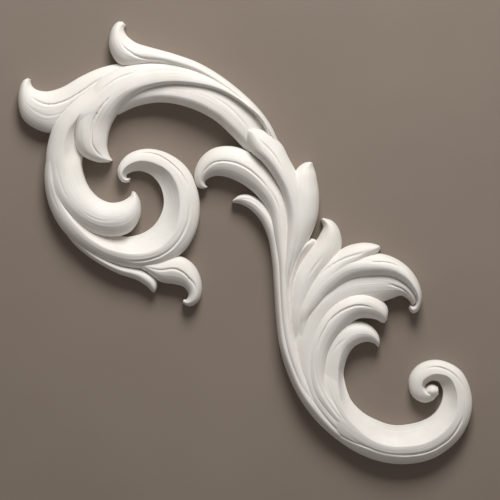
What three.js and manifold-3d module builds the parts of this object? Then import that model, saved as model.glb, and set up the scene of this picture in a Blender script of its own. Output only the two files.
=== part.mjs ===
// A carved scroll onlay, an applied ornament for a wall, a door or furniture.
//
// It is one carving with a flat back. An arch springs from a stem of leaves, curls down into an
// open C scroll, and the same stem runs down into a volute. The leaves of the stem are acanthus:
// each one is a long lobe that starts as a narrow reed on the stem and ends in a turned tip.
//
// The frame is in millimetres, +Z up and +X to the right as seen from the front. The back lies in
// the plane y = 0 and the carving stands out of it towards -Y. The origin is the mounting point,
// on the back behind the narrowest part of the stem.
import * as THREE from 'three';
import Module from 'manifold-3d';

// Driving dimensions
const WIDTH = 295; // from the tip of the left leaf to the right side of the volute
const RELIEF = 23; // highest point of the carving above the back
const EDGE_SHARE = 0.46; // height of a lobe's side wall, as a share of its crest
const KNIFE_DEPTH = 1.2; // of the lines cut along the lobes
const KNIFE_WIDTH = 3; // of the V-shaped cut at KNIFE_CLEARANCE above the surface
const KNIFE_CLEARANCE = 0.6;
const KNIFE_STEPS_PER_ROW = 1.5;
const KNIFE_RUN_IN = 0.06; // where a line starts in the knife's dip, as a share of the dip's length
const SMOOTHNESS = 0.3; // farthest that a facet strays from the true curve, seen from the front
const BACK_STOCK = 2; // waste left behind the back, which is planed off flat at the end
const PAINT = { color: 0xe6e0d9, roughness: 0.55, metalness: 0 };

// The drawing is an upright view from the front, in units of its own with x to the right and y down
const DRAWING = { unitsAcross: 453, mount: [287, 300] };
const UNIT = WIDTH / DRAWING.unitsAcross;

// A lobe is carved between two edges. Each row is one section, from its root to its tip:
// [left edge x, y, right edge x, y, crest height in % of RELIEF, place of the crest, hollowness].
// The place of the crest runs from 0 at the left edge to 1 at the right, and is 0.5 if left out.
// The hollowness of the side right of the crest runs from 0, as round as the left side, to 1 for
// a scoop. Where a row leaves it out, it is the lobe's own value, or 0.
// A groove is [first row, last row, place across at its start, its middle and its end].
const LOBES = [
  {
    name: 'volute',
    hollow: 1,
    grooves: [
      [7.6, 10.9, 0.26, 0.23, 0.25],
      [12.3, 14.6, 0.27, 0.33, 0.32],
    ],
    sections: [
      [276, 300, 302, 302, 40, 0.5],
      [278, 326, 322, 332, 44, 0.6],
      [281, 352, 342, 357, 50, 0.8],
      [289, 377, 343.5, 376, 62, 0.84],
      [302, 402, 350, 398, 68, 0.78],
      [321, 425.5, 364, 413, 70, 0.63],
      [348, 447, 382, 422, 72, 0.5],
      [375, 459.5, 394, 425, 72, 0.46],
      [403, 463.5, 406, 424.5, 72, 0.47],
      [432, 458, 421, 421, 70, 0.47],
      [456, 441, 433, 414, 68, 0.48],
      [469, 419, 440.5, 403, 66, 0.5],
      [471, 395, 442.5, 391, 64, 0.54],
      [461, 371, 438.5, 382, 62, 0.56],
      [440, 360, 431, 380.5, 60, 0.66],
      [420, 363.5, 426, 384, 58, 0.7],
      [409, 377, 425.2, 386.8, 56, 0.74],
      [410.5, 393.5, 427.5, 388, 55, 0.7],
      [421, 402, 429, 388.5, 54, 0.64],
      [432, 400.5, 429.5, 388, 52, 0.56],
      [437.8, 392, 429, 387.5, 48, 0.5],
      [435.5, 386, 428, 386.5, 44, 0.5],
      [430, 384.2, 427, 385.6, 38, 0.5],
    ],
  },
  {
    name: 'volute eye',
    sections: [
      [425, 394, 426, 386, 46],
      [428.5, 397, 429, 384.5, 56],
      [433.5, 397.5, 433, 384, 58],
      [438, 394, 437.3, 386.3, 50],
    ],
  },
  {
    name: 'first reed',
    sections: [
      [352, 449, 357, 439, 48, 0.45],
      [330, 433, 339, 423, 60, 0.4],
      [310, 412, 323, 402, 68, 0.38],
      [296, 391, 311, 386, 71, 0.36],
      [286, 367, 302, 365, 71, 0.34],
      [279, 344, 295, 342.5, 71, 0.34],
      [275.8, 316, 292, 316, 71, 0.34],
      [274, 288, 290, 288, 70, 0.36],
      [272, 262, 288, 261, 68, 0.38],
      [268, 238, 284, 236, 64, 0.44],
      [260, 220, 276, 220, 59, 0.55],
      [249, 208.5, 266, 205, 53, 0.62],
      [240, 204, 252, 195.5, 46, 0.65],
      [234.5, 203, 240, 195, 40, 0.6],
      [232, 202.5, 233, 200, 32, 0.5],
    ],
  },
  {
    name: 'left curl',
    grooves: [[9.9, 14.4, 0.51, 0.5, 0.37]],
    sections: [
      [340, 438, 348, 428, 46],
      [315, 417, 330, 406, 62],
      [298, 393, 315, 387, 70],
      [289, 369, 304, 366, 74],
      [282, 344, 297, 342.5, 76],
      [278, 316, 292.5, 316, 77],
      [277, 288, 290, 288, 78],
      [275.5, 262, 291, 262, 79],
      [272, 237, 290.5, 231, 80],
      [268, 213, 287, 200, 79],
      [257, 196, 275, 178, 77],
      [243, 184.5, 256, 157, 74],
      [228, 177.5, 236, 147, 70],
      [216, 176, 215, 148, 65],
      [208.5, 178.5, 201, 158, 58],
      [205, 182, 194.5, 173, 52],
      [206, 185.5, 196.8, 186.6, 44],
      [208, 187, 204, 189, 34],
    ],
  },
  {
    name: 'hood leaf',
    grooves: [[5.4, 7.8, 0.51, 0.55, 0.45]],
    sections: [
      [279, 304, 289, 304, 66, 0.5],
      [280.5, 272, 292, 273, 79, 0.5],
      [283.5, 245, 301, 249, 87, 0.45],
      [285.5, 219, 311, 222, 92, 0.38],
      [282, 197, 306, 195, 96, 0.36],
      [273.5, 178.5, 297.5, 175, 99, 0.36],
      [262, 163, 288.5, 158, 100, 0.36],
      [251, 153, 282.5, 146, 98, 0.36],
      [246, 142, 273.5, 137, 93, 0.38],
      [245, 135, 262, 129.5, 84, 0.42],
      [246.5, 132, 249, 131, 70, 0.5],
    ],
  },
  {
    name: 'right leaf',
    sections: [
      [284, 290, 292, 291, 60, 0.5],
      [284.5, 262, 298, 265, 76, 0.5],
      [285, 238, 308, 242, 86, 0.48],
      [286, 216, 317, 219, 90, 0.46],
      [287.5, 196, 319, 197, 88, 0.48],
      [292.5, 178, 316.5, 178, 79, 0.46],
      [297.5, 168, 314.5, 170, 67, 0.45],
      [304, 163, 313, 166, 60, 0.5],
      [309.5, 162, 312.5, 163, 50, 0.5],
    ],
  },
  {
    name: 'sliver leaf',
    sections: [
      [284, 325, 298, 325, 58, 0.4, 0.4],
      [285, 292, 302, 293, 67, 0.34, 0.8],
      [288, 271, 305, 275, 70, 0.3, 0.9],
      [294, 253, 311, 261, 69, 0.3, 0.9],
      [301, 243.5, 317, 250.5, 65, 0.3, 0.6],
      [309, 239.5, 317.5, 242, 54, 0.4, 0],
      [311.5, 238.3, 315, 239.3, 46, 0.5, 0],
    ],
  },
  {
    name: 'upright curl',
    sections: [
      [289, 352, 305, 352, 50],
      [287, 321, 307, 325, 71],
      [288.5, 297, 311, 303.5, 76],
      [294, 273.5, 320, 282.5, 80],
      [306, 254, 334, 263.5, 80],
      [315.5, 241.5, 341.2, 247, 77],
      [321.6, 231, 339.5, 231, 71],
      [323, 226, 332.5, 221, 62],
      [320.5, 219.5, 323, 218, 50],
    ],
  },
  {
    name: 'fan top leaf',
    grooves: [[2.7, 5.8, 0.14, 0.31, 0.53]],
    sections: [
      [293, 347, 309, 348, 50],
      [294, 316, 312, 321, 76],
      [300, 297, 323, 306, 83],
      [312, 275, 338, 288.5, 88],
      [328.5, 258.5, 350, 275, 91],
      [345, 247, 361, 268.5, 91],
      [359, 243, 369.5, 259.5, 86],
      [370, 243, 376.5, 254, 77],
      [378, 245, 380.5, 248, 64],
    ],
  },
  {
    name: 'great leaf',
    grooves: [[6.2, 7.7, 0.4, 0.35, 0.33]],
    sections: [
      [301, 378, 310, 374, 50, 0.5],
      [296, 350, 311, 352, 64, 0.5],
      [295, 320, 313, 322, 74, 0.45],
      [301, 297, 323.2, 304.7, 82, 0.5],
      [313, 276, 338.5, 290.5, 89, 0.5],
      [335, 258, 354.2, 280.9, 93, 0.52],
      [360, 253, 373, 277.3, 95, 0.54],
      [385, 254.5, 390.4, 278, 91, 0.54],
      [404, 264, 404, 284.5, 83, 0.54],
      [416.5, 279, 413.5, 295, 74, 0.6],
      [421.5, 296, 415.5, 302, 64, 0.55],
      [418.5, 310, 413.5, 305.5, 56, 0.5],
      [412, 313.5, 411, 305.5, 48, 0.5],
      [408.5, 308, 410, 304.5, 38, 0.5],
    ],
  },
  {
    name: 'second leaf',
    grooves: [[9.9, 11.6, 0.52, 0.57, 0.7]],
    sections: [
      [347, 444, 358, 432, 50, 0.5],
      [331, 433, 347, 419, 63, 0.5],
      [314, 414, 333, 402, 69, 0.5],
      [302, 391, 324, 387, 71, 0.5],
      [293, 361, 323, 367, 72, 0.5],
      [291, 330, 325, 349, 73, 0.5],
      [301, 299, 334, 325, 74, 0.48],
      [321, 279, 348, 312, 74, 0.48],
      [342, 266, 361, 307, 74, 0.48],
      [366, 264, 378, 303, 73, 0.48],
      [388.5, 268.5, 391, 298.5, 70, 0.45],
      [404.5, 280.5, 401, 295.5, 64, 0.45],
      [415.5, 292.5, 409, 300.5, 56, 0.5],
      [417.5, 301, 411.5, 305.5, 48, 0.5],
    ],
  },
  {
    name: 'third leaf',
    grooves: [[4.9, 9.4, 0.45, 0.45, 0.57]],
    sections: [
      [358, 444, 368, 432, 52],
      [339, 431, 355, 418, 66],
      [320, 413, 340, 401, 72],
      [308, 392, 330, 389, 75],
      [303, 367, 327, 374, 76],
      [306, 342, 330, 354, 79],
      [314.8, 320.3, 339, 337, 83],
      [329.8, 302, 348, 326, 85],
      [349.3, 292, 357, 319, 85],
      [366, 291.3, 367, 318, 81],
      [380, 299, 376, 319.5, 73],
      [387.5, 308, 380.5, 322, 62],
      [387, 319, 384, 323, 48],
    ],
  },
  {
    name: 'fourth leaf',
    sections: [
      [328, 428, 360, 414.5, 58, 0.66, 1],
      [313, 401, 350, 398, 64, 0.74, 1],
      [309, 378, 343.5, 377, 63.5, 0.83, 1],
      [315, 355, 346, 360, 67, 0.78, 0.5],
      [324, 335, 352, 348.5, 68.5, 0.66, 0.1],
      [341, 322, 360, 343, 68, 0.58, 0],
      [358, 321, 367, 341.5, 64, 0.5, 0],
      [370, 325, 373.5, 343, 56, 0.5, 0],
      [378.5, 335, 377, 346, 46, 0.5, 0],
      [379.5, 343, 378, 347, 36, 0.5, 0],
    ],
  },
  {
    name: 'C scroll',
    hollow: 1,
    grooves: [
      [8.8, 12.6, 0.21, 0.26, 0.27],
      [13.3, 16.3, 0.23, 0.24, 0.18],
    ],
    sections: [
      [101, 88, 110, 104, 44, 0.5],
      [80, 101, 99, 120, 56, 0.45],
      [62.5, 119, 93, 137, 62, 0.38],
      [50.5, 146, 80, 151, 65, 0.31],
      [45, 172, 76, 168, 65, 0.28],
      [48, 200, 80, 186, 67, 0.34],
      [60, 226, 91, 207, 69, 0.38],
      [80, 246, 106, 226, 70, 0.4],
      [106, 261, 122, 236, 70, 0.43],
      [136, 268.5, 138, 235, 70, 0.43],
      [164, 264.5, 152, 227.5, 69, 0.42],
      [186, 249, 160.5, 216, 68, 0.47],
      [198, 225, 164, 202, 67, 0.53],
      [199, 196, 161, 187.5, 65, 0.52],
      [188, 169, 153, 176.5, 63, 0.52],
      [168, 153.5, 143, 171.5, 61, 0.56],
      [146, 149, 134, 171.5, 58, 0.56],
      [127, 155.5, 128, 174, 54, 0.6],
      [117.5, 170, 126.5, 176, 50, 0.58],
      [121, 181, 127, 177.5, 46, 0.52],
      [129, 182.5, 129, 178.5, 42, 0.5],
      [131, 179, 130, 177.5, 34, 0.5],
    ],
  },
  {
    name: 'tail leaf',
    sections: [
      [61, 225, 67, 220, 34],
      [72, 241.5, 78, 236.5, 44],
      [86, 254.5, 91.5, 249, 49],
      [101, 264.5, 105.5, 258, 51],
      [118, 273.5, 122, 265, 51],
      [136, 279.5, 141, 269, 50],
      [146.5, 286, 154, 276.5, 46],
      [151.5, 291, 157.5, 284, 40],
      [154, 292.5, 156, 290.5, 32],
    ],
  },
  {
    name: 'foot leaf',
    grooves: [[1.4, 6.3, 0.54, 0.55, 0.37]],
    sections: [
      [118, 260, 124, 266, 40],
      [140, 260, 144, 270.5, 52],
      [158, 258, 160, 281.5, 57],
      [175, 255.5, 174, 284, 59],
      [187, 259, 183, 286.5, 59],
      [197, 269, 187.5, 291, 56],
      [202, 285, 188.5, 295, 52],
      [199.5, 300, 187, 298.5, 48],
      [190, 306.5, 185.5, 299.5, 42],
      [182.5, 303, 184, 299, 34],
    ],
  },
  {
    name: 'inner leaf',
    grooves: [[1.5, 2.7, 0.57, 0.58, 0.71]],
    sections: [
      [137, 65.3, 142.5, 92, 85.5, 0.76, 0],
      [113.5, 72, 123.5, 106, 86.6, 0.66, 0],
      [94.2, 86.3, 113.5, 119.5, 84.8, 0.58, 0],
      [73, 101.5, 101, 128, 82.5, 0.48, 0],
      [56.3, 121, 90, 141, 79, 0.42, 1],
      [48, 146, 84, 153, 76, 0.48, 0.9],
      [46.5, 170, 82.5, 167, 76, 0.5, 0.1],
      [51, 195, 88, 185, 79, 0.5, 0],
      [65, 215, 98, 197, 82, 0.5, 0],
      [87, 231.5, 110, 202.5, 84, 0.5, 0],
      [110.5, 237, 120, 202, 84, 0.5, 0],
      [129.5, 232.5, 127, 199, 79, 0.5, 0],
      [140, 217.5, 131, 195.5, 68, 0.5, 0],
      [140.5, 202, 132, 192.5, 56, 0.5, 0],
      [136, 192.5, 133, 191, 42, 0.5, 0],
    ],
  },
  {
    name: 'left leaf',
    grooves: [[1.3, 6.6, 0.7, 0.63, 0.73]],
    sections: [
      [150, 86, 137, 60, 36],
      [135, 86, 118, 64, 46],
      [112, 97, 100, 68.5, 51],
      [90, 110, 82, 76.5, 55],
      [72, 125, 64, 87, 58],
      [52, 133, 50, 91.5, 62],
      [34, 128, 40, 91, 60],
      [22, 117, 34, 88, 56],
      [18.5, 99, 31.5, 84.5, 51],
      [22, 83, 31, 81, 44],
      [27.5, 78.5, 31.5, 79.5, 34],
    ],
  },
  {
    name: 'wide leaf',
    grooves: [
      [7.5, 11.5, 0.43, 0.43, 0.3],
      [6.0, 8.0, 0.7, 0.72, 0.73],
    ],
    sections: [
      [268, 140, 274, 143, 66, 0.5],
      [259.5, 121.5, 266.5, 120.5, 83, 0.45],
      [242, 106, 249.5, 101.5, 87, 0.34],
      [219.5, 93.5, 223.5, 82, 87, 0.28],
      [194, 88, 197.5, 68.5, 87, 0.23],
      [168, 87, 166, 63, 87, 0.2],
      [143, 93.5, 137, 64.8, 87, 0.24],
      [124, 107, 113, 71.5, 87, 0.34],
      [114, 120, 94, 86, 85, 0.42],
      [109, 133, 77, 110.5, 82, 0.64],
      [107.5, 146, 73.5, 136.5, 79, 0.6],
      [109, 154, 80.5, 154, 71, 0.58],
      [111, 158, 96, 162, 58, 0.5],
      [113, 160.5, 109, 162.5, 42, 0.5],
    ],
  },
  {
    name: 'outer leaf',
    grooves: [[6.0, 9.4, 0.34, 0.43, 0.63]],
    sections: [
      [276, 154, 281, 155, 46],
      [268.5, 138, 278, 141, 68],
      [259, 122, 267.8, 121, 80],
      [243, 106, 251, 101, 80],
      [218, 88.5, 226, 80, 80],
      [193.5, 75, 201, 64.5, 78],
      [168.5, 67.5, 176, 55, 74],
      [148, 65.5, 153, 48.5, 70],
      [131, 67.5, 138, 44, 67],
      [118, 63.5, 129, 38, 65],
      [109.5, 48, 125, 32.5, 61],
      [111.5, 30.5, 124.5, 28.5, 52],
      [118, 22, 126, 26.5, 42],
      [123, 22, 126, 25.5, 34],
    ],
  },
  {
    name: 'inner band',
    sections: [
      [262, 160, 274, 148, 48, 0.4],
      [247, 152, 270, 131, 60, 0.3],
      [233, 137, 258.5, 112.5, 75, 0.26],
      [214, 120, 236, 90.5, 80, 0.24],
      [190, 108, 206.5, 75.5, 77, 0.24],
      [163, 102.5, 168, 70, 70, 0.24],
      [138, 106, 132, 77, 62, 0.3],
      [118, 115, 105, 90, 53, 0.4],
    ],
  },
];

const wasm = await Module();
wasm.setup();

// A smooth curve through equally spaced values: the value between b and c, with a and d beyond them
function between(a, b, c, d, share) {
  const leaving = (c - a) / 2;
  const arriving = (d - b) / 2;
  const cubic = 2 * (b - c) + leaving + arriving;
  const square = 3 * (c - b) - 2 * leaving - arriving;
  return ((cubic * share + square) * share + leaving) * share + b;
}

// The section at any place along a lobe, where place 2.5 is halfway between rows 2 and 3
function sectionAt(lobe, place) {
  const rows = lobe.sections;
  const last = rows.length - 1;
  const row = Math.min(Math.floor(place), last - 1);
  const usual = [0, 0, 0, 0, 0, 0.5, lobe.hollow ?? 0];
  const column = (index, k) => rows[index][k] ?? usual[k];
  const value = (k) => {
    const b = column(row, k);
    const c = column(row + 1, k);
    const a = row > 0 ? column(row - 1, k) : 2 * b - c;
    const d = row + 2 <= last ? column(row + 2, k) : 2 * c - b;
    return between(a, b, c, d, place - row);
  };
  return {
    left: [value(0) * UNIT, value(1) * UNIT],
    right: [value(2) * UNIT, value(3) * UNIT],
    crest: (value(4) / 100) * RELIEF,
    ridge: value(5),
    hollow: value(6),
  };
}

// How far the middle of a curve strays from the straight line between its ends
function stray(start, middle, end) {
  const [x, y] = [end[0] - start[0], end[1] - start[1]];
  const [u, v] = [middle[0] - start[0], middle[1] - start[1]];
  const length = Math.hypot(x, y);
  return length > 0 ? Math.abs(x * v - y * u) / length : Math.hypot(u, v);
}

// Places along a lobe where it is cut into sections: close together only where it turns sharply
const STRIDE = 0.125;
function placesAlong(lobe) {
  const last = lobe.sections.length - 1;
  const fits = (from, to) => {
    const [start, end] = [sectionAt(lobe, from), sectionAt(lobe, to)];
    return [0.25, 0.5, 0.75].every((share) => {
      const middle = sectionAt(lobe, from + (to - from) * share);
      const rise = start.crest + (end.crest - start.crest) * share;
      return (
        stray(start.left, middle.left, end.left) < SMOOTHNESS &&
        stray(start.right, middle.right, end.right) < SMOOTHNESS &&
        Math.abs(middle.crest - rise) < SMOOTHNESS
      );
    });
  };
  const places = [0];
  while (places.at(-1) < last) {
    const from = places.at(-1);
    let to = Math.min(from + STRIDE * 2, last);
    while (to + STRIDE <= last && fits(from, to + STRIDE)) to += STRIDE;
    places.push(last - to < STRIDE * 2 ? last : to);
  }
  return places;
}

// Rise from 0 at a free edge to 1 at the crest, round like the back of a leaf
const ROUNDNESS = 0.5;
const roll = (share) => Math.sin((share * Math.PI) / 2) ** ROUNDNESS;

// Rise from 0 at the inner edge of a scoop to 1 at its crest, flat at first and then steep
const HOLLOWNESS = 1.5;
const scoop = (share) => share ** HOLLOWNESS;

// Height of a lobe above the back, at a place across one of its sections
function heightAt({ crest, ridge, hollow }, across) {
  const edge = crest * EDGE_SHARE;
  const inward = (1 - across) / (1 - ridge);
  const rise = across <= ridge ? roll(across / ridge) : roll(inward) * (1 - hollow) + scoop(inward) * hollow;
  return edge + (crest - edge) * rise;
}

// A point of the frame, at a place across a section and a height above the back
function pointAt({ left, right }, across, height) {
  const x = left[0] + (right[0] - left[0]) * across;
  const y = left[1] + (right[1] - left[1]) * across;
  return [x - DRAWING.mount[0] * UNIT, -height, DRAWING.mount[1] * UNIT - y];
}

// One section as a ring of points, from the left foot over the crest to the right foot
const LEFT_SHARES = [0, 0.12, 0.4, 0.72, 1];
const RIGHT_SHARES = [0.28, 0.6, 0.88, 1];
function sectionRing(lobe, place) {
  const section = sectionAt(lobe, place);
  const places = [
    ...LEFT_SHARES.map((share) => share * section.ridge),
    ...RIGHT_SHARES.map((share) => section.ridge + share * (1 - section.ridge)),
  ];
  const top = places.map((across) => pointAt(section, across, heightAt(section, across)));
  return [pointAt(section, 0, -BACK_STOCK), ...top, pointAt(section, 1, -BACK_STOCK)];
}

// A V-shaped cut along a lobe, shallow at both ends, as a ring of points: the V in the surface and
// the room above it, up to clear of the crest
function knifeRing(lobe, [first, last, ...line], along) {
  const section = sectionAt(lobe, first + (last - first) * along);
  const half = along < 0.5 ? 0 : 1;
  const across = line[half] + (line[half + 1] - line[half]) * (along * 2 - half);
  const width = Math.hypot(section.right[0] - section.left[0], section.right[1] - section.left[1]);
  const dip = KNIFE_RUN_IN + (1 - 2 * KNIFE_RUN_IN) * along;
  const depth = KNIFE_DEPTH * Math.sin(Math.PI * dip);
  const spread = KNIFE_WIDTH / 2 / width;
  const [near, far] = [Math.max(across - spread, 0), Math.min(across + spread, 1)];
  const clear = section.crest + KNIFE_CLEARANCE * 3;
  return [
    pointAt(section, near, clear),
    pointAt(section, near, heightAt(section, near) + KNIFE_CLEARANCE),
    pointAt(section, across, heightAt(section, across) - depth),
    pointAt(section, far, heightAt(section, far) + KNIFE_CLEARANCE),
    pointAt(section, far, clear),
  ];
}

// A closed solid from rings of points: strips between them and a flat end on the first and last
function loft(rings) {
  const around = rings[0].length;
  const end = (rings.length - 1) * around;
  const faces = [];
  for (let start = 0; start < end; start += around) {
    for (let j = 0; j < around; j++) {
      const [a, b] = [start + j, start + ((j + 1) % around)];
      faces.push(a, b, b + around, a, b + around, a + around);
    }
  }
  for (let j = 1; j + 1 < around; j++) {
    faces.push(0, j + 1, j, end, end + j, end + j + 1);
  }
  return solid(rings.flat(2), faces);
}

// A manifold solid from positions and triangles, turned the right way out
function solid(positions, faces) {
  const make = (triangles) =>
    new wasm.Manifold(
      new wasm.Mesh({
        numProp: 3,
        vertProperties: new Float32Array(positions),
        triVerts: new Uint32Array(triangles),
      }),
    );
  const made = make(faces);
  return made.volume() > 0 ? made : make(faces.toReversed());
}

// One lobe, with its knife lines cut
function carveLobe(lobe) {
  const body = loft(placesAlong(lobe).map((place) => sectionRing(lobe, place)));
  const cuts = (lobe.grooves ?? []).map((groove) => {
    const rows = Math.ceil((groove[1] - groove[0]) * KNIFE_STEPS_PER_ROW);
    return loft(Array.from({ length: rows + 1 }, (_, i) => knifeRing(lobe, groove, i / rows)));
  });
  return cuts.reduce((carved, cut) => carved.subtract(cut), body);
}

// The waste behind the back, from an upright board as large as the carving
function backWaste() {
  const reach = WIDTH;
  const ring = (y) => [
    [-reach, y, -reach],
    [reach, y, -reach],
    [reach, y, reach],
    [-reach, y, reach],
  ];
  return loft([ring(0), ring(BACK_STOCK * 2)]);
}

function carveOnlay() {
  const carving = LOBES.map(carveLobe)
    .reduce((joined, lobe) => joined.add(lobe))
    .subtract(backWaste());
  const { vertProperties, triVerts } = carving.getMesh();
  const geometry = new THREE.BufferGeometry();
  geometry.setAttribute('position', new THREE.BufferAttribute(vertProperties, 3));
  geometry.setIndex(new THREE.BufferAttribute(triVerts, 1));
  geometry.computeVertexNormals();
  const mesh = new THREE.Mesh(geometry, new THREE.MeshStandardMaterial(PAINT));
  mesh.name = 'scroll_onlay';
  return mesh;
}

const part = new THREE.Group();
part.add(carveOnlay());
export default part;
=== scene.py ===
import math

import bpy
import numpy as np
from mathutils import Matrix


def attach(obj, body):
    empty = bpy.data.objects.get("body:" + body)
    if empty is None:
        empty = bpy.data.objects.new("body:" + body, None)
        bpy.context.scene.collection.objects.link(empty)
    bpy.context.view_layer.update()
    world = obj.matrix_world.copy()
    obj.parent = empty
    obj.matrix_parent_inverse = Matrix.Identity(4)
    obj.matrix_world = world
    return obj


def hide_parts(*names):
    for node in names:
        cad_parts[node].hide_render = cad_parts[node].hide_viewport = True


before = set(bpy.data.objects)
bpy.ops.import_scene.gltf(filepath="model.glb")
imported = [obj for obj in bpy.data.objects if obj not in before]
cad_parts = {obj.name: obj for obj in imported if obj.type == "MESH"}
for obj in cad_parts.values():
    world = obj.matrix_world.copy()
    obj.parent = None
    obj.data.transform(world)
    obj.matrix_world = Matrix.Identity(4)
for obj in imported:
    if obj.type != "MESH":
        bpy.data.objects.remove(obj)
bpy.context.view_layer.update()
bpy.ops.object.select_all(action="DESELECT")

# The volute ends the stem at the bottom. It is carved from the same board as everything else, as
# a long scoop: a rounded outer side rises to a crest, and inside the crest the wood is hollowed.
# Like each leaf it is cut between two edges, a left and a right one seen from root to tip.
WIDTH = 0.295
RELIEF = 0.023
DRAWING_UNITS_ACROSS = 453  # the carving's width on the drawing, which is square and counts down
DRAWING_SIDE = 500
MOUNT_X, MOUNT_Y = 287, 300
UNIT = WIDTH / DRAWING_UNITS_ACROSS
EDGE_SHARE = 0.46  # height of a lobe's straight side, as a share of its crest
ROUNDNESS = 0.5
HOLLOWNESS = 1.5
MIDDLE_RIDGE = 0.5
BACK_STOCK = 0.002
CUT_LENGTH = 0.0016
CUT_WIDTH = 0.00045
FEWEST_CUTS_ALONG, FEWEST_CUTS_ACROSS = 4, 6
MEASURES_PER_ROW = 24
EDGE_CROWDING = 0.35  # how far the cuts draw together at the edges, where the surface turns down
KNIFE_DEPTH = 0.0013
KNIFE_WIDTH = 0.0018
LIP_SHARE = 0.12  # height of the burr beside a knife line, as a share of the line's depth
LIP_OFFSET = 0.7 * KNIFE_WIDTH


def sections_at(rows, places):
    """The rows of a lobe as smooth curves, read at any places between its first row and its last."""
    before, after = 2 * rows[0] - rows[1], 2 * rows[-1] - rows[-2]
    padded = np.vstack([before, rows, after])
    index = np.clip(places.astype(int), 0, len(rows) - 2)
    share = (places - index)[:, None]
    a, b, c, d = (padded[index + k] for k in range(4))
    leaving, arriving = (c - a) / 2, (d - b) / 2
    cubic = 2 * (b - c) + leaving + arriving
    square = 3 * (c - b) - 2 * leaving - arriving
    return ((cubic * share + square) * share + leaving) * share + b


def even_places(rows):
    """Places along a lobe, CUT_LENGTH apart at its middle, and how far along each one lies."""
    fine = np.linspace(0, len(rows) - 1, (len(rows) - 1) * MEASURES_PER_ROW + 1)
    sections = sections_at(rows, fine)
    middle = (sections[:, 0:2] + sections[:, 2:4]) / 2 * UNIT
    run = np.concatenate([[0], np.cumsum(np.linalg.norm(np.diff(middle, axis=0), axis=1))])
    cuts_along = max(FEWEST_CUTS_ALONG, round(run[-1] / CUT_LENGTH))
    along = np.linspace(0, run[-1], cuts_along + 1)
    return np.interp(along, run, fine), along


def knife_depth(line, places, across, width):
    """Depth of a knife line: (strength, first row, last row, places across from start to end)."""
    strength, first, last, *line_places = line
    along = np.clip((places - first) / (last - first), 0, 1)
    centre = np.interp(along, np.linspace(0, 1, len(line_places)), line_places)
    distance = (across - centre) * width
    fade = np.sin(np.pi * along) ** 0.5
    cut = np.clip(1 - np.abs(distance) / (KNIFE_WIDTH / 2), 0, 1)
    lip = np.clip(1 - np.abs(distance + LIP_OFFSET) / KNIFE_WIDTH, 0, 1)
    return KNIFE_DEPTH * strength * fade * (cut - LIP_SHARE * lip)


def heights(sections, places, across, knife_lines):
    """Height of the carved surface above the back, for each section and place across it."""
    crest = sections[:, 4] / 100 * RELIEF
    ridge, hollow = sections[:, 5], sections[:, 6]
    width = np.linalg.norm(sections[:, 2:4] - sections[:, 0:2], axis=1) * UNIT
    left = np.sin(np.clip(across / ridge, 0, 1) * np.pi / 2) ** ROUNDNESS
    inward = np.clip((1 - across) / (1 - ridge), 0, 1)
    right = np.sin(inward * np.pi / 2) ** ROUNDNESS * (1 - hollow) + inward ** HOLLOWNESS * hollow
    height = crest * (EDGE_SHARE + (1 - EDGE_SHARE) * np.where(across <= ridge, left, right))
    for line in knife_lines:
        height = height - knife_depth(line, places, across, width)
    return height


def carve_lobe(name, rows, knife_lines=(), hollow=0):
    """One lobe as a closed block: its carved face, straight sides and waste behind the back.

    Each row is a section: left edge x and y, right edge x and y, crest in % of RELIEF, place of the
    crest across, and how hollow the right side is, from 0 for a leaf to 1 for a scoop. The last two
    can be left out, for a crest in the middle and the lobe's own hollow.
    """
    rows = np.array([(*row, *(MIDDLE_RIDGE, hollow)[len(row) - 5:]) for row in rows], float)
    places, along = even_places(rows)
    sections = sections_at(rows, places)
    widest = np.linalg.norm(sections[:, 2:4] - sections[:, 0:2], axis=1).max() * UNIT
    cuts_across = max(FEWEST_CUTS_ACROSS, round(widest / CUT_WIDTH))
    bpy.ops.mesh.primitive_grid_add(x_subdivisions=len(places) - 1, y_subdivisions=cuts_across, size=1)
    lobe = bpy.context.object
    lobe.name = name
    mesh = lobe.data
    flat = np.zeros(len(mesh.vertices) * 3)
    mesh.vertices.foreach_get("co", flat)
    flat = flat.reshape(-1, 3)
    step = np.rint((flat[:, 0] + 0.5) * (len(places) - 1)).astype(int)
    even = flat[:, 1] + 0.5
    crowded = 0.5 - 0.5 * np.cos(np.pi * even)
    across = EDGE_CROWDING * crowded + (1 - EDGE_CROWDING) * even
    here = sections[step]
    spot = here[:, 0:2] + (here[:, 2:4] - here[:, 0:2]) * across[:, None]
    height = heights(here, places[step], across, knife_lines)
    carved = np.column_stack([(spot[:, 0] - MOUNT_X) * UNIT, -height, (MOUNT_Y - spot[:, 1]) * UNIT])
    mesh.vertices.foreach_set("co", carved.ravel())
    corners = np.zeros(len(mesh.loops), int)
    mesh.loops.foreach_get("vertex_index", corners)
    grain = np.column_stack([along[step], across * widest])[corners]
    mesh.uv_layers.active.data.foreach_set("uv", grain.ravel())
    bpy.ops.object.mode_set(mode="EDIT")
    bpy.ops.mesh.select_all(action="SELECT")
    bpy.ops.mesh.extrude_region_move(TRANSFORM_OT_translate={"value": (0, RELIEF * 2, 0)})
    bpy.ops.transform.resize(value=(1, 0, 1), center_override=(0, BACK_STOCK, 0))
    bpy.ops.mesh.select_all(action="SELECT")
    bpy.ops.mesh.normals_make_consistent(inside=False)
    bpy.ops.object.mode_set(mode="OBJECT")
    lobe.select_set(False)
    return lobe


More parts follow.
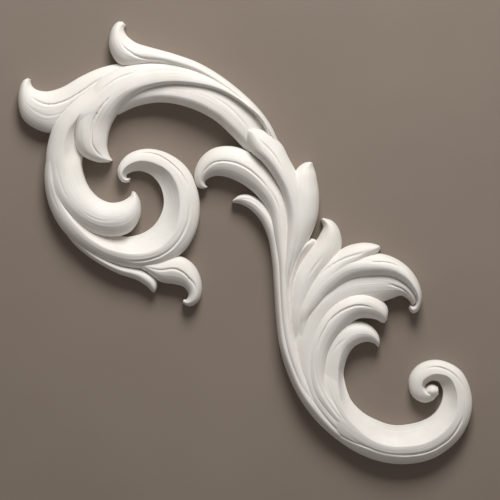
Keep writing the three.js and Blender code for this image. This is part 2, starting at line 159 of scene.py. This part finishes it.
lobes = [
    carve_lobe("volute", [
        (276, 300, 302, 302, 40, 0.5),
        (278, 326, 322, 332, 44, 0.6),
        (281, 352, 342, 357, 50, 0.8),
        (289, 377, 343.5, 376, 62, 0.84),
        (302, 402, 350, 398, 68, 0.78),
        (321, 425.5, 364, 413, 70, 0.63),
        (348, 447, 382, 422, 72, 0.5),
        (375, 459.5, 394, 425, 72, 0.46),
        (403, 463.5, 406, 424.5, 72, 0.47),
        (432, 458, 421, 421, 70, 0.47),
        (456, 441, 433, 414, 68, 0.48),
        (469, 419, 440.5, 403, 66, 0.5),
        (471, 395, 442.5, 391, 64, 0.54),
        (461, 371, 438.5, 382, 62, 0.56),
        (440, 360, 431, 380.5, 60, 0.66),
        (420, 363.5, 426, 384, 58, 0.7),
        (409, 377, 425.2, 386.8, 56, 0.74),
        (410.5, 393.5, 427.5, 388, 55, 0.7),
        (421, 402, 429, 388.5, 54, 0.64),
        (432, 400.5, 429.5, 388, 52, 0.56),
        (437.8, 392, 429, 387.5, 48, 0.5),
        (435.5, 386, 428, 386.5, 44, 0.5),
        (430, 384.2, 427, 385.6, 38, 0.5),
    ], [
        (1, 7.6, 10.9, 0.26, 0.24, 0.22, 0.25),
        (1, 12.3, 14.6, 0.27, 0.33, 0.32, 0.32),
        (0.4, 3.4, 5.1, 0.67, 0.61, 0.51),
        (0.6, 5.3, 6.6, 0.12, 0.2, 0.28),
        (0.35, 5.7, 8.2, 0.26, 0.25, 0.26),
    ], hollow=1),
    carve_lobe("volute_eye", [
        (425, 394, 426, 386, 46),
        (428.5, 397, 429, 384.5, 56),
        (433.5, 397.5, 433, 384, 58),
        (438, 394, 437.3, 386.3, 50),
    ]),
]

# The stem is a bundle of reeds. Each reed opens at the top into a leaf: the first reed and the
# left curl bend away to the left, the hood leaf stands highest and closes over the foot of the
# arch, and the right leaf and the sliver lean out on the other side.
lobes += [
    carve_lobe("first_reed", [
        (352, 449, 357, 439, 48, 0.45),
        (330, 433, 339, 423, 60, 0.4),
        (310, 412, 323, 402, 68, 0.38),
        (296, 391, 311, 386, 71, 0.36),
        (286, 367, 302, 365, 71, 0.34),
        (279, 344, 295, 342.5, 71, 0.34),
        (275.8, 316, 292, 316, 71, 0.34),
        (274, 288, 290, 288, 70, 0.36),
        (272, 262, 288, 261, 68, 0.38),
        (268, 238, 284, 236, 64, 0.44),
        (260, 220, 276, 220, 59, 0.55),
        (249, 208.5, 266, 205, 53, 0.62),
        (240, 204, 252, 195.5, 46, 0.65),
        (234.5, 203, 240, 195, 40, 0.6),
        (232, 202.5, 233, 200, 32, 0.5),
    ], [(0.4, 10.5, 12.6, 0.59, 0.64, 0.48)]),
    carve_lobe("left_curl", [
        (340, 438, 348, 428, 46),
        (315, 417, 330, 406, 62),
        (298, 393, 315, 387, 70),
        (289, 369, 304, 366, 74),
        (282, 344, 297, 342.5, 76),
        (278, 316, 292.5, 316, 77),
        (277, 288, 290, 288, 78),
        (275.5, 262, 291, 262, 79),
        (272, 237, 290.5, 231, 80),
        (268, 213, 287, 200, 79),
        (257, 196, 275, 178, 77),
        (243, 184.5, 256, 157, 74),
        (228, 177.5, 236, 147, 70),
        (216, 176, 215, 148, 65),
        (208.5, 178.5, 201, 158, 58),
        (205, 182, 194.5, 173, 52),
        (206, 185.5, 196.8, 186.6, 44),
        (208, 187, 204, 189, 34),
    ], [
        (1, 9.9, 14.4, 0.51, 0.49, 0.48, 0.37),
        (0.4, 8.8, 9.8, 0.5, 0.51, 0.55),
    ]),
    carve_lobe("hood_leaf", [
        (279, 304, 289, 304, 66, 0.5),
        (280.5, 272, 292, 273, 79, 0.5),
        (283.5, 245, 301, 249, 87, 0.45),
        (285.5, 219, 311, 222, 92, 0.38),
        (282, 197, 306, 195, 96, 0.36),
        (273.5, 178.5, 297.5, 175, 99, 0.36),
        (262, 163, 288.5, 158, 100, 0.36),
        (251, 153, 282.5, 146, 98, 0.36),
        (246, 142, 273.5, 137, 93, 0.38),
        (245, 135, 262, 129.5, 84, 0.42),
        (246.5, 132, 249, 131, 70, 0.5),
    ], [
        (1, 5.4, 7.8, 0.51, 0.56, 0.54, 0.45),
        (0.5, 0.4, 1.4, 0.47, 0.33, 0.18),
    ]),
    carve_lobe("right_leaf", [
        (284, 290, 292, 291, 60, 0.5),
        (284.5, 262, 298, 265, 76, 0.5),
        (285, 238, 308, 242, 86, 0.48),
        (286, 216, 317, 219, 90, 0.46),
        (287.5, 196, 319, 197, 88, 0.48),
        (292.5, 178, 316.5, 178, 79, 0.46),
        (297.5, 168, 314.5, 170, 67, 0.45),
        (304, 163, 313, 166, 60, 0.5),
        (309.5, 162, 312.5, 163, 50, 0.5),
    ], [(1, 3.8, 4.8, 0.36, 0.32, 0.14)]),
    carve_lobe("sliver_leaf", [
        (284, 325, 298, 325, 58, 0.4, 0.4),
        (285, 292, 302, 293, 67, 0.34, 0.8),
        (288, 271, 305, 275, 70, 0.3, 0.9),
        (294, 253, 311, 261, 69, 0.3, 0.9),
        (301, 243.5, 317, 250.5, 65, 0.3, 0.6),
        (309, 239.5, 317.5, 242, 54, 0.4, 0),
        (311.5, 238.3, 315, 239.3, 46, 0.5, 0),
    ]),
    carve_lobe("upright_curl", [
        (289, 352, 305, 352, 50),
        (287, 321, 307, 325, 71),
        (288.5, 297, 311, 303.5, 76),
        (294, 273.5, 320, 282.5, 80),
        (306, 254, 334, 263.5, 80),
        (315.5, 241.5, 341.2, 247, 77),
        (321.6, 231, 339.5, 231, 71),
        (323, 226, 332.5, 221, 62),
        (320.5, 219.5, 323, 218, 50),
    ], [(0.5, 3.1, 4.1, 0.5, 0.49, 0.5)]),
]

# The fan is five leaves that spring from the right side of the stem and bend over the volute,
# each one tucked under the leaf above it. They are cut with long knife lines that follow the bend.
lobes += [
    carve_lobe("fan_top_leaf", [
        (293, 347, 309, 348, 50),
        (294, 316, 312, 321, 76),
        (300, 297, 323, 306, 83),
        (312, 275, 338, 288.5, 88),
        (328.5, 258.5, 350, 275, 91),
        (345, 247, 361, 268.5, 91),
        (359, 243, 369.5, 259.5, 86),
        (370, 243, 376.5, 254, 77),
        (378, 245, 380.5, 248, 64),
    ], [(1, 2.7, 5.8, 0.14, 0.25, 0.37, 0.53)]),
    carve_lobe("great_leaf", [
        (301, 378, 310, 374, 50, 0.5),
        (296, 350, 311, 352, 64, 0.5),
        (295, 320, 313, 322, 74, 0.45),
        (301, 297, 323.2, 304.7, 82, 0.5),
        (313, 276, 338.5, 290.5, 89, 0.5),
        (335, 258, 354.2, 280.9, 93, 0.52),
        (360, 253, 373, 277.3, 95, 0.54),
        (385, 254.5, 390.4, 278, 91, 0.54),
        (404, 264, 404, 284.5, 83, 0.54),
        (416.5, 279, 413.5, 295, 74, 0.6),
        (421.5, 296, 415.5, 302, 64, 0.55),
        (418.5, 310, 413.5, 305.5, 56, 0.5),
        (412, 313.5, 411, 305.5, 48, 0.5),
        (408.5, 308, 410, 304.5, 38, 0.5),
    ], [
        (1, 6.2, 7.7, 0.4, 0.37, 0.34, 0.33),
        (0.3, 5.2, 6.9, 0.29, 0.31, 0.51),
    ]),
    carve_lobe("second_leaf", [
        (347, 444, 358, 432, 50, 0.5),
        (331, 433, 347, 419, 63, 0.5),
        (314, 414, 333, 402, 69, 0.5),
        (302, 391, 324, 387, 71, 0.5),
        (293, 361, 323, 367, 72, 0.5),
        (291, 330, 325, 349, 73, 0.5),
        (301, 299, 334, 325, 74, 0.48),
        (321, 279, 348, 312, 74, 0.48),
        (342, 266, 361, 307, 74, 0.48),
        (366, 264, 378, 303, 73, 0.48),
        (388.5, 268.5, 391, 298.5, 70, 0.45),
        (404.5, 280.5, 401, 295.5, 64, 0.45),
        (415.5, 292.5, 409, 300.5, 56, 0.5),
        (417.5, 301, 411.5, 305.5, 48, 0.5),
    ], [
        (1, 9.9, 11.6, 0.52, 0.56, 0.59, 0.7),
        (0.5, 0.7, 3.7, 0.35, 0.28, 0.28),
        (0.8, 5.0, 7.8, 0.29, 0.33, 0.32),
    ]),
    carve_lobe("third_leaf", [
        (358, 444, 368, 432, 52),
        (339, 431, 355, 418, 66),
        (320, 413, 340, 401, 72),
        (308, 392, 330, 389, 75),
        (303, 367, 327, 374, 76),
        (306, 342, 330, 354, 79),
        (314.8, 320.3, 339, 337, 83),
        (329.8, 302, 348, 326, 85),
        (349.3, 292, 357, 319, 85),
        (366, 291.3, 367, 318, 81),
        (380, 299, 376, 319.5, 73),
        (387.5, 308, 380.5, 322, 62),
        (387, 319, 384, 323, 48),
    ], [
        (1, 4.9, 9.4, 0.45, 0.4, 0.5, 0.57),
        (0.5, 0.6, 4.9, 0.42, 0.63, 0.45),
    ]),
    carve_lobe("fourth_leaf", [
        (328, 428, 360, 414.5, 58, 0.66, 1),
        (313, 401, 350, 398, 64, 0.74, 1),
        (309, 378, 343.5, 377, 63.5, 0.83, 1),
        (315, 355, 346, 360, 67, 0.78, 0.5),
        (324, 335, 352, 348.5, 68.5, 0.66, 0.1),
        (341, 322, 360, 343, 68, 0.58, 0),
        (358, 321, 367, 341.5, 64, 0.5, 0),
        (370, 325, 373.5, 343, 56, 0.5, 0),
        (378.5, 335, 377, 346, 46, 0.5, 0),
        (379.5, 343, 378, 347, 36, 0.5, 0),
    ], [(0.4, 3.5, 4.4, 0.51, 0.55, 0.58)]),
]

# The C scroll turns under the arch and opens to the right. A broad smooth leaf lies inside it, and
# a thin tail and a foot leaf grow from its outer side at the bottom.
lobes += [
    carve_lobe("c_scroll", [
        (101, 88, 110, 104, 44, 0.5),
        (80, 101, 99, 120, 56, 0.45),
        (62.5, 119, 93, 137, 62, 0.38),
        (50.5, 146, 80, 151, 65, 0.31),
        (45, 172, 76, 168, 65, 0.28),
        (48, 200, 80, 186, 67, 0.34),
        (60, 226, 91, 207, 69, 0.38),
        (80, 246, 106, 226, 70, 0.4),
        (106, 261, 122, 236, 70, 0.43),
        (136, 268.5, 138, 235, 70, 0.43),
        (164, 264.5, 152, 227.5, 69, 0.42),
        (186, 249, 160.5, 216, 68, 0.47),
        (198, 225, 164, 202, 67, 0.53),
        (199, 196, 161, 187.5, 65, 0.52),
        (188, 169, 153, 176.5, 63, 0.52),
        (168, 153.5, 143, 171.5, 61, 0.56),
        (146, 149, 134, 171.5, 58, 0.56),
        (127, 155.5, 128, 174, 54, 0.6),
        (117.5, 170, 126.5, 176, 50, 0.58),
        (121, 181, 127, 177.5, 46, 0.52),
        (129, 182.5, 129, 178.5, 42, 0.5),
        (131, 179, 130, 177.5, 34, 0.5),
    ], [
        (1, 8.8, 12.6, 0.21, 0.24, 0.27, 0.27),
        (1, 13.3, 16.3, 0.23, 0.27, 0.21, 0.18),
        (0.2, 4.5, 5.5, 0.18, 0.19, 0.22),
    ], hollow=1),
    carve_lobe("tail_leaf", [
        (61, 225, 67, 220, 34),
        (72, 241.5, 78, 236.5, 44),
        (86, 254.5, 91.5, 249, 49),
        (101, 264.5, 105.5, 258, 51),
        (118, 273.5, 122, 265, 51),
        (136, 279.5, 141, 269, 50),
        (146.5, 286, 154, 276.5, 46),
        (151.5, 291, 157.5, 284, 40),
        (154, 292.5, 156, 290.5, 32),
    ]),
    carve_lobe("foot_leaf", [
        (118, 260, 124, 266, 40),
        (140, 260, 144, 270.5, 52),
        (158, 258, 160, 281.5, 57),
        (175, 255.5, 174, 284, 59),
        (187, 259, 183, 286.5, 59),
        (197, 269, 187.5, 291, 56),
        (202, 285, 188.5, 295, 52),
        (199.5, 300, 187, 298.5, 48),
        (190, 306.5, 185.5, 299.5, 42),
        (182.5, 303, 184, 299, 34),
    ], [(1, 1.4, 6.3, 0.54, 0.46, 0.58, 0.37)]),
    carve_lobe("inner_leaf", [
        (137, 65.3, 142.5, 92, 85.5, 0.76, 0),
        (113.5, 72, 123.5, 106, 86.6, 0.66, 0),
        (94.2, 86.3, 113.5, 119.5, 84.8, 0.58, 0),
        (73, 101.5, 101, 128, 82.5, 0.48, 0),
        (56.3, 121, 90, 141, 79, 0.42, 1),
        (48, 146, 84, 153, 76, 0.48, 0.9),
        (46.5, 170, 82.5, 167, 76, 0.5, 0.1),
        (51, 195, 88, 185, 79, 0.5, 0),
        (65, 215, 98, 197, 82, 0.5, 0),
        (87, 231.5, 110, 202.5, 84, 0.5, 0),
        (110.5, 237, 120, 202, 84, 0.5, 0),
        (129.5, 232.5, 127, 199, 79, 0.5, 0),
        (140, 217.5, 131, 195.5, 68, 0.5, 0),
        (140.5, 202, 132, 192.5, 56, 0.5, 0),
        (136, 192.5, 133, 191, 42, 0.5, 0),
    ], [
        (1, 1.5, 2.7, 0.57, 0.56, 0.61, 0.71),
        (0.6, 0.3, 2.0, 0.27, 0.27, 0.26),
        (0.2, 8.4, 10.2, 0.41, 0.43, 0.48),
        (0.15, 9.0, 10.0, 0.25, 0.2, 0.17),
        (0.2, 5.8, 7.4, 0.32, 0.37, 0.39),
        (2.2, 3.2, 4.7, 0.42, 0.55, 0.79),
    ]),
]

# The arch joins the stem to the C scroll. Its wide leaf runs over the top and ends in a pointed
# tip inside the scroll, between the outer leaf, the left leaf and a plain band along the inside.
lobes += [
    carve_lobe("left_leaf", [
        (150, 86, 137, 60, 36),
        (135, 86, 118, 64, 46),
        (112, 97, 100, 68.5, 51),
        (90, 110, 82, 76.5, 55),
        (72, 125, 64, 87, 58),
        (52, 133, 50, 91.5, 62),
        (34, 128, 40, 91, 60),
        (22, 117, 34, 88, 56),
        (18.5, 99, 31.5, 84.5, 51),
        (22, 83, 31, 81, 44),
        (27.5, 78.5, 31.5, 79.5, 34),
    ], [
        (1, 1.3, 6.6, 0.7, 0.57, 0.65, 0.73),
        (0.25, 4.3, 6.3, 0.38, 0.4, 0.43),
        (0.9, 3.5, 4.6, 0.5, 0.41, 0.25),
    ]),
    carve_lobe("wide_leaf", [
        (268, 140, 274, 143, 66, 0.5),
        (259.5, 121.5, 266.5, 120.5, 83, 0.45),
        (242, 106, 249.5, 101.5, 87, 0.34),
        (219.5, 93.5, 223.5, 82, 87, 0.28),
        (194, 88, 197.5, 68.5, 87, 0.23),
        (168, 87, 166, 63, 87, 0.2),
        (143, 93.5, 137, 64.8, 87, 0.24),
        (124, 107, 113, 71.5, 87, 0.34),
        (114, 120, 94, 86, 85, 0.42),
        (109, 133, 77, 110.5, 82, 0.64),
        (107.5, 146, 73.5, 136.5, 79, 0.6),
        (109, 154, 80.5, 154, 71, 0.58),
        (111, 158, 96, 162, 58, 0.5),
        (113, 160.5, 109, 162.5, 42, 0.5),
    ], [
        (1, 7.5, 11.5, 0.43, 0.46, 0.43, 0.3),
        (1, 6.0, 8.0, 0.7, 0.72, 0.72, 0.73),
        (0.7, 1.5, 3.7, 0.36, 0.67, 0.87),
        (0.35, 4.2, 6.0, 0.6, 0.64, 0.6),
        (1.7, 9.1, 10.5, 0.83, 0.94, 0.94),
    ]),
    carve_lobe("outer_leaf", [
        (276, 154, 281, 155, 46),
        (268.5, 138, 278, 141, 68),
        (259, 122, 267.8, 121, 80),
        (243, 106, 251, 101, 80),
        (218, 88.5, 226, 80, 80),
        (193.5, 75, 201, 64.5, 78),
        (168.5, 67.5, 176, 55, 74),
        (148, 65.5, 153, 48.5, 70),
        (131, 67.5, 138, 44, 67),
        (118, 63.5, 129, 38, 65),
        (109.5, 48, 125, 32.5, 61),
        (111.5, 30.5, 124.5, 28.5, 52),
        (118, 22, 126, 26.5, 42),
        (123, 22, 126, 25.5, 34),
    ], [
        (1, 6.0, 9.4, 0.34, 0.31, 0.54, 0.63),
        (0.5, 2.6, 4.7, 0.61, 0.71, 0.69),
    ]),
    carve_lobe("inner_band", [
        (262, 160, 274, 148, 48, 0.4),
        (247, 152, 270, 131, 60, 0.3),
        (233, 137, 258.5, 112.5, 75, 0.26),
        (214, 120, 236, 90.5, 80, 0.24),
        (190, 108, 206.5, 75.5, 77, 0.24),
        (163, 102.5, 168, 70, 70, 0.24),
        (138, 106, 132, 77, 62, 0.3),
        (118, 115, 105, 90, 53, 0.4),
    ], [(0.4, 1.9, 3.4, 0.48, 0.49, 0.5)]),
]

# All lobes are one piece of wood. The waste behind the back is planed off flat, and the carved
# face is rubbed down, which takes the sharpness off its edges and out of its valleys.
SANDING_STROKES = 1
SANDING_STRENGTH = 0.5
SANDED_ABOVE = 0.0005
CREASE_ANGLE = math.radians(38)
BOARD_REACH = 0.4
WELD = 0.00004


def combine(piece, other, operation):
    """Joins another solid to a piece, or cuts it away, and removes the other solid."""
    change = piece.modifiers.new(operation.lower(), "BOOLEAN")
    change.operation = operation
    change.solver = "MANIFOLD"
    change.object = other
    bpy.context.view_layer.objects.active = piece
    bpy.ops.object.modifier_apply(modifier=change.name)
    bpy.data.objects.remove(other)


carving = lobes[0]
carving.name = "carved_onlay"
for lobe in lobes[1:]:
    combine(carving, lobe, "UNION")
bpy.ops.mesh.primitive_cube_add(size=BOARD_REACH * 2, location=(0, BOARD_REACH, 0))
combine(carving, bpy.context.object, "DIFFERENCE")

bpy.ops.object.select_all(action="DESELECT")
carving.select_set(True)
bpy.context.view_layer.objects.active = carving
bpy.ops.object.mode_set(mode="EDIT")
bpy.ops.mesh.select_all(action="SELECT")
bpy.ops.mesh.remove_doubles(threshold=WELD)
bpy.ops.object.mode_set(mode="OBJECT")
face = carving.vertex_groups.new(name="carved_face")
face.add([v.index for v in carving.data.vertices if v.co.y < -SANDED_ABOVE], 1.0, "REPLACE")
sanding = carving.modifiers.new("sanding", "SMOOTH")
sanding.factor = SANDING_STRENGTH
sanding.iterations = SANDING_STROKES
sanding.vertex_group = face.name
bpy.ops.object.modifier_apply(modifier=sanding.name)
bpy.ops.object.shade_smooth_by_angle(angle=CREASE_ANGLE)
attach(carving, "root")
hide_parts("scroll_onlay")

# The finish is a matt off-white paint over a thin ground, brushed on along the leaves. It shows
# faint brush marks that follow each leaf, and a slightly warmer, duller tone here and there.
paint = bpy.data.materials.new("matt_off_white_paint")
paint.use_nodes = True
nodes, links = paint.node_tree.nodes, paint.node_tree.links
shader = nodes["Principled BSDF"]
shader.inputs["Roughness"].default_value = 0.62
shader.inputs["Specular IOR Level"].default_value = 0.25

grain_map = nodes.new("ShaderNodeUVMap")
grain_map.uv_map = carving.data.uv_layers[0].name
stretch = nodes.new("ShaderNodeMapping")
stretch.inputs["Scale"].default_value = (22, 620, 1)
links.new(grain_map.outputs["UV"], stretch.inputs["Vector"])
brush_marks = nodes.new("ShaderNodeTexNoise")
brush_marks.inputs["Scale"].default_value = 1
brush_marks.inputs["Detail"].default_value = 4
links.new(stretch.outputs["Vector"], brush_marks.inputs["Vector"])

place = nodes.new("ShaderNodeTexCoord")
blotches = nodes.new("ShaderNodeTexNoise")
blotches.inputs["Scale"].default_value = 60
blotches.inputs["Detail"].default_value = 5
links.new(place.outputs["Object"], blotches.inputs["Vector"])

tone = nodes.new("ShaderNodeValToRGB")
tone.color_ramp.elements[0].position = 0.3
tone.color_ramp.elements[0].color = (0.76, 0.728, 0.685, 1)
tone.color_ramp.elements[1].position = 0.7
tone.color_ramp.elements[1].color = (0.83, 0.81, 0.78, 1)
links.new(blotches.outputs["Fac"], tone.inputs["Fac"])
links.new(tone.outputs["Color"], shader.inputs["Base Color"])

marks = nodes.new("ShaderNodeBump")
marks.inputs["Strength"].default_value = 0.8
marks.inputs["Distance"].default_value = 0.0004
links.new(brush_marks.outputs["Fac"], marks.inputs["Height"])
links.new(marks.outputs["Normal"], shader.inputs["Normal"])
carving.data.materials.clear()
carving.data.materials.append(paint)

# The onlay lies flat on a plain wall, in a warm grey paint. The wall shows only from the front,
# and light that starts closer to it than WALL_REACH passes through, so that the back of the
# carving can be seen from behind.
WALL_SIDE = 4
WALL_GAP = 0.0004
WALL_REACH = 8 * WALL_GAP
UPRIGHT = (math.radians(90), 0, 0)
bpy.ops.mesh.primitive_plane_add(size=WALL_SIDE, rotation=UPRIGHT, location=(0, WALL_GAP, 0))
wall = bpy.context.object
wall.name = "wall"
bpy.ops.object.transform_apply(location=True, rotation=True, scale=True)
plaster = bpy.data.materials.new("warm_grey_wall")
plaster.use_nodes = True
wall_nodes, wall_links = plaster.node_tree.nodes, plaster.node_tree.links
wall_shader = wall_nodes["Principled BSDF"]
wall_shader.inputs["Roughness"].default_value = 0.85
wall_place = wall_nodes.new("ShaderNodeTexCoord")
clouds = wall_nodes.new("ShaderNodeTexNoise")
clouds.inputs["Scale"].default_value = 9
clouds.inputs["Detail"].default_value = 4
wall_links.new(wall_place.outputs["Object"], clouds.inputs["Vector"])
wall_tone = wall_nodes.new("ShaderNodeValToRGB")
wall_tone.color_ramp.elements[0].position = 0.25
wall_tone.color_ramp.elements[0].color = (0.214, 0.172, 0.142, 1)
wall_tone.color_ramp.elements[1].position = 0.75
wall_tone.color_ramp.elements[1].color = (0.238, 0.194, 0.161, 1)
wall_links.new(clouds.outputs["Fac"], wall_tone.inputs["Fac"])
wall_links.new(wall_tone.outputs["Color"], wall_shader.inputs["Base Color"])
front_only = wall_nodes.new("ShaderNodeMixShader")
unseen = wall_nodes.new("ShaderNodeBsdfTransparent")
side_of_wall = wall_nodes.new("ShaderNodeNewGeometry")
ray = wall_nodes.new("ShaderNodeLightPath")
from_the_back_face = wall_nodes.new("ShaderNodeMath")
from_the_back_face.operation = "LESS_THAN"
from_the_back_face.inputs[1].default_value = WALL_REACH
wall_links.new(ray.outputs["Ray Length"], from_the_back_face.inputs[0])
let_through = wall_nodes.new("ShaderNodeMath")
let_through.operation = "MAXIMUM"
wall_links.new(side_of_wall.outputs["Backfacing"], let_through.inputs[0])
wall_links.new(from_the_back_face.outputs["Value"], let_through.inputs[1])
wall_links.new(let_through.outputs["Value"], front_only.inputs["Fac"])
wall_links.new(wall_shader.outputs["BSDF"], front_only.inputs[1])
wall_links.new(unseen.outputs["BSDF"], front_only.inputs[2])
wall_links.new(front_only.outputs["Shader"], wall_nodes["Material Output"].inputs["Surface"])
wall.data.materials.append(plaster)

# A broad soft lamp stands high above the onlay and a little to its right, and the warm room
# lights the rest. It points at the middle of the carving.
LAMP_DISTANCE = 1.3
LAMP_RIGHT, LAMP_UP = math.radians(7), math.radians(52)
LAMP_SIDE = 0.55
LAMP_WATTS = 17.4
ROOM_STRENGTH = 0.218
CARVING_MIDDLE = (0, 0, 0.03)
toward_lamp = (
    math.cos(LAMP_UP) * math.sin(LAMP_RIGHT),
    -math.cos(LAMP_UP) * math.cos(LAMP_RIGHT),
    math.sin(LAMP_UP),
)
bpy.ops.object.light_add(type="AREA", location=[LAMP_DISTANCE * part for part in toward_lamp])
lamp = bpy.context.object
lamp.name = "lamp"
lamp.data.size = LAMP_SIDE
lamp.data.energy = LAMP_WATTS
lamp.data.color = (1, 0.985, 0.96)
aim = lamp.constraints.new("TRACK_TO")
aim.track_axis, aim.up_axis = "TRACK_NEGATIVE_Z", "UP_Y"
bpy.ops.object.empty_add(location=CARVING_MIDDLE)
aim.target = bpy.context.object
bpy.context.view_layer.update()
lamp.matrix_world = lamp.matrix_world.copy()
lamp.constraints.clear()
bpy.data.objects.remove(bpy.context.object)

room = bpy.data.worlds.new("room")
room.use_nodes = True
background = room.node_tree.nodes["Background"]
background.inputs["Color"].default_value = (1, 0.955, 0.89, 1)
background.inputs["Strength"].default_value = ROOM_STRENGTH
bpy.context.scene.world = room

# The camera stands straight in front of the wall, far off and with a long lens, and takes in
# the whole square of the drawing.
CAMERA_DISTANCE = 2.2
SENSOR_MM = 36
centre_x = (DRAWING_SIDE / 2 - MOUNT_X) * UNIT
centre_z = (MOUNT_Y - DRAWING_SIDE / 2) * UNIT
bpy.ops.object.camera_add(location=(centre_x, -CAMERA_DISTANCE, centre_z), rotation=UPRIGHT)
camera = bpy.context.object
camera.data.sensor_width = SENSOR_MM
camera.data.lens = SENSOR_MM * CAMERA_DISTANCE / (DRAWING_SIDE * UNIT)
bpy.context.scene.camera = camera
bpy.context.scene.view_settings.view_transform = "Standard"
